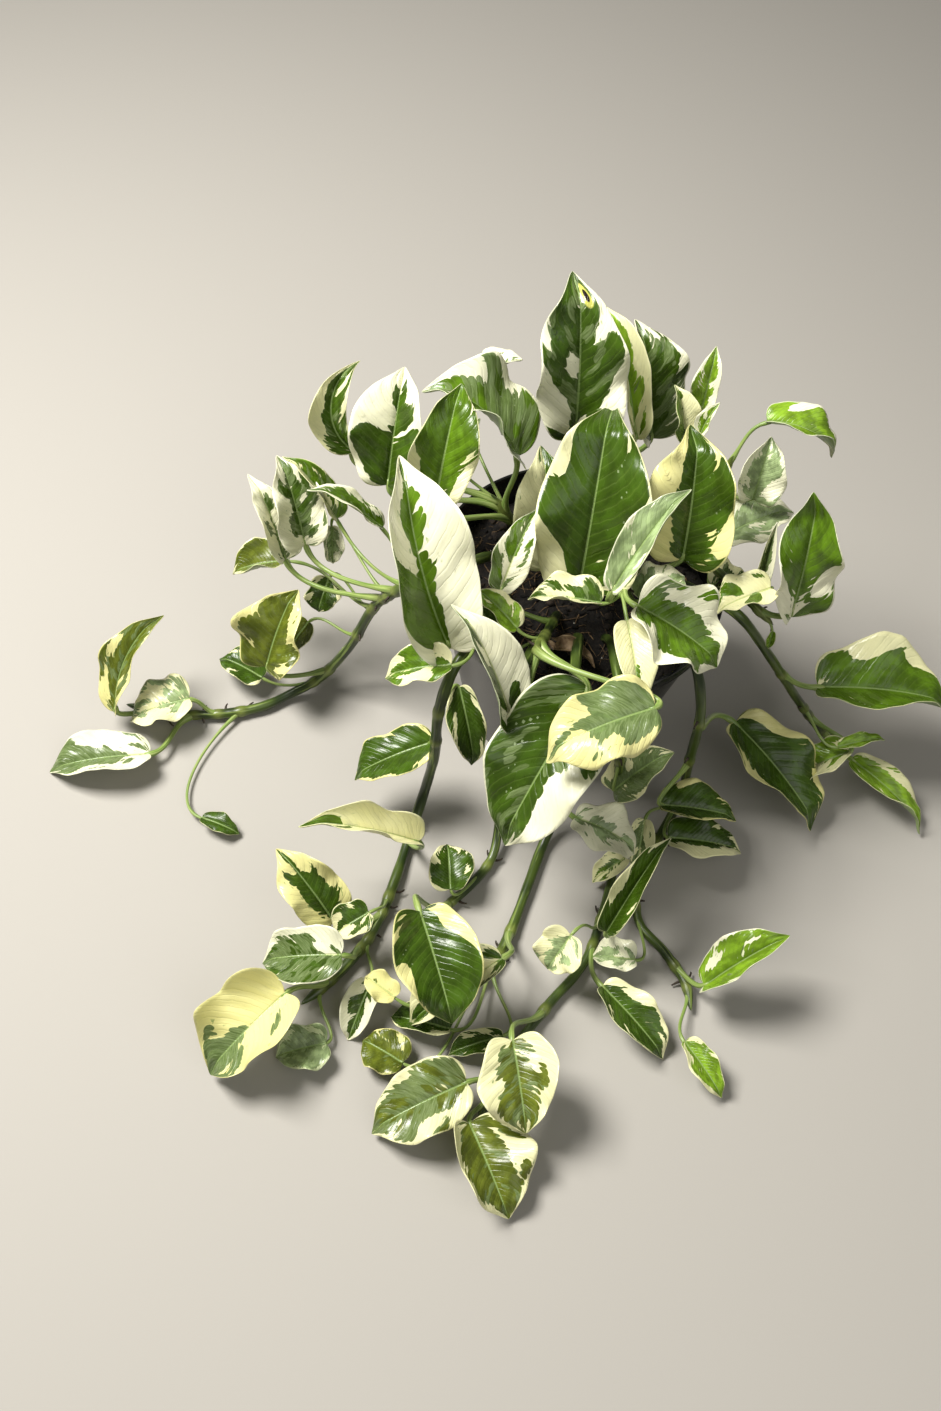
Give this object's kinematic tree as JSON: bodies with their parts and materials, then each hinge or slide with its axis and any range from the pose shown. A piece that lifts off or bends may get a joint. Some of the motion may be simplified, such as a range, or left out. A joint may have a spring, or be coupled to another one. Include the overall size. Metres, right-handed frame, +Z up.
{
  "type": "potted pothos plant",
  "caption": "Round black nursery pot of peat with upright and trailing stems of large cream-and-green variegated leaves; the trailing stems lie out over the surface.",
  "frame": {"origin": "centre of the underside of the pot, on the surface it stands on", "axes": "+Z up along the pot's axis; -Y towards the viewer, where most stems trail; +X to the viewer's right"},
  "size_m": [0.5599, 0.4456, 0.2862],
  "materials": {
    "pot": "thin black moulded plastic, soft gloss",
    "soil": "dark brown moist peat with fibres, bark and a few pale grains",
    "stem": "smooth green skin with paler nodes and short dark aerial roots",
    "leaf": "glossy, veined, variegated in crisp patches of dark green, grey-green and cream"
  },
  "bodies": {
    "root": {"nursery_pot": "pot", "potting_soil": "soil", "left_vine": "stem", "front_left_vine": "stem", "front_centre_vine": "stem", "front_vine": "stem", "front_long_vine": "stem", "right_front_vine": "stem", "right_vine": "stem", "back_right_stem": "stem", "right_side_stem": "stem", "centre_back_stem": "stem", "centre_right_stem": "stem", "left_back_stem": "stem", "left_rim_stem": "stem", "front_stem": "stem", "left_fan_leaf_a": "leaf", "left_fan_leaf_b": "leaf", "left_yellow_leaf": "leaf", "far_left_leaf": "leaf", "far_left_end_leaf": "leaf", "far_left_upright_leaf": "leaf", "front_oval_leaf": "leaf", "long_cream_leaf": "leaf", "lower_left_leaf_a": "leaf", "lower_left_leaf_c": "leaf", "lower_left_big_leaf": "leaf", "dark_cupped_leaf": "leaf", "pale_drooping_leaf": "leaf", "boat_leaf": "leaf", "lower_right_leaf_a": "leaf", "bottom_round_leaf": "leaf", "bottom_left_leaf": "leaf", "bottom_leaf": "leaf", "right_dark_leaf": "leaf", "front_dark_leaf": "leaf", "front_edge_leaf": "leaf", "lower_right_leaf_b": "leaf", "right_large_leaf": "leaf", "right_twisted_leaf": "leaf", "right_end_leaf": "leaf", "back_right_leaf": "leaf", "right_tall_leaf": "leaf", "centre_pale_leaf": "leaf", "centre_leaf": "leaf", "top_right_leaf": "leaf", "top_leaf": "leaf", "top_rear_leaf": "leaf", "right_upright_leaf": "leaf", "pale_rolled_leaf": "leaf", "right_centre_leaf": "leaf", "left_tall_leaf": "leaf", "left_back_leaf": "leaf", "left_arching_leaf": "leaf", "hooked_leaf": "leaf", "left_big_leaf": "leaf", "front_wide_leaf": "leaf", "inner_white_leaf": "leaf", "front_big_leaf": "leaf", "white_leaf": "leaf"}
  },
  "joints": []
}
